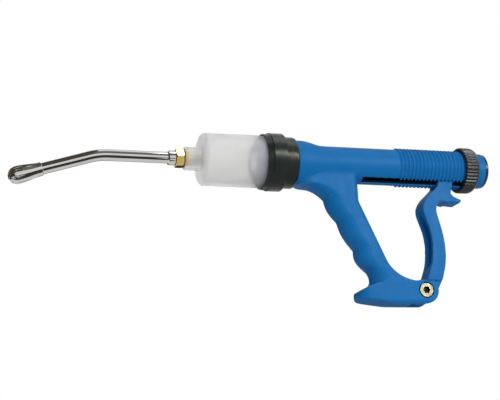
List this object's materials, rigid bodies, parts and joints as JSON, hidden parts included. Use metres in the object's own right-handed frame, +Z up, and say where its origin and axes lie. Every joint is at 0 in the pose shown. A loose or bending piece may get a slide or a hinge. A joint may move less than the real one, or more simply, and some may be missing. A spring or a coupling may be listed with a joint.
{
  "type": "livestock drencher",
  "caption": "Hand-squeezed livestock drencher with a bent metal nozzle, a frosted dosing barrel, a finger-notched grip, a pivoted rear lever and a ribbed dose nut.",
  "frame": {"origin": "on the flat base of the foot, midway between the two sides", "axes": "+X along the barrel axis towards the hose end, +Y across the grip, +Z up"},
  "size_m": [0.3713, 0.044, 0.1305],
  "materials": {
    "plated_metal": "bright plated",
    "brass": "machined",
    "steel": "drawn",
    "spring_steel": "blackened and oiled",
    "frosted_plastic": "frosted, translucent",
    "black_plastic": "moulded satin",
    "blue_plastic": "moulded satin",
    "grey_plastic": "moulded",
    "white_plastic": "moulded",
    "seal_rubber": "moulded"
  },
  "bodies": {
    "frame": {"nozzle_tip": "plated_metal", "nozzle_tube": "plated_metal", "nozzle_collar": "plated_metal", "nozzle_adaptor": "brass", "adaptor_washer": "seal_rubber", "barrel": "frosted_plastic", "outlet_spring": "steel", "coupling_ring": "black_plastic", "barrel_gasket": "seal_rubber", "barrel_seat": "black_plastic", "rod_guide": "white_plastic", "body": "blue_plastic", "spring_washer": "steel", "return_spring": "spring_steel", "pivot_screw": "brass", "pivot_nut": "brass", "end_cap": "black_plastic"},
    "lever": {"lever": "blue_plastic"},
    "plunger": {"piston": "grey_plastic", "piston_seals": "seal_rubber", "valve_cage": "white_plastic", "plunger_rod": "steel", "crosshead": "black_plastic", "hose_tail": "brass"},
    "inlet_valve": {"inlet_valve": "steel"},
    "outlet_valve": {"outlet_valve": "steel"},
    "dose_washer": {"dose_washer": "black_plastic"},
    "dose_nut": {"dose_nut": "black_plastic"}
  },
  "joints": [
    {"name": "lever_squeeze", "type": "hinge", "parent": "frame", "child": "lever", "pos_m": [0.0245, 0, 0.01], "axis": [0, -1, 0], "range_deg": [0, 19.3], "stiffness_Nm_per_rad": 4, "springref_deg": -6.88},
    {"name": "plunger_slide", "type": "slide", "parent": "frame", "child": "plunger", "axis": [-1, 0, 0], "range_m": [0, 0.034], "deforming": ["return_spring"]},
    {"name": "outlet_lift", "type": "slide", "parent": "frame", "child": "outlet_valve", "axis": [-1, 0, 0], "range_m": [0, 0.0018], "stiffness_N_per_m": 200, "springref_m": -0.001, "deforming": ["outlet_spring"]},
    {"name": "inlet_lift", "type": "slide", "parent": "plunger", "child": "inlet_valve", "axis": [-1, 0, 0], "range_m": [0, 0.002]},
    {"name": "dose_advance", "type": "slide", "parent": "frame", "child": "dose_washer", "axis": [1, 0, 0], "range_m": [-0.005, 0.006]},
    {"name": "dose_turn", "type": "hinge", "parent": "dose_washer", "child": "dose_nut", "pos_m": [0.07, 0, 0.1085], "axis": [1, 0, 0], "range_deg": [-560, 670]}
  ],
  "couplings": [
    {"joint": "plunger_slide", "follows": "lever_squeeze", "m_per_rad": 0.1009},
    {"joint": "dose_advance", "follows": "dose_turn", "m_per_rad": 0.0005093}
  ]
}
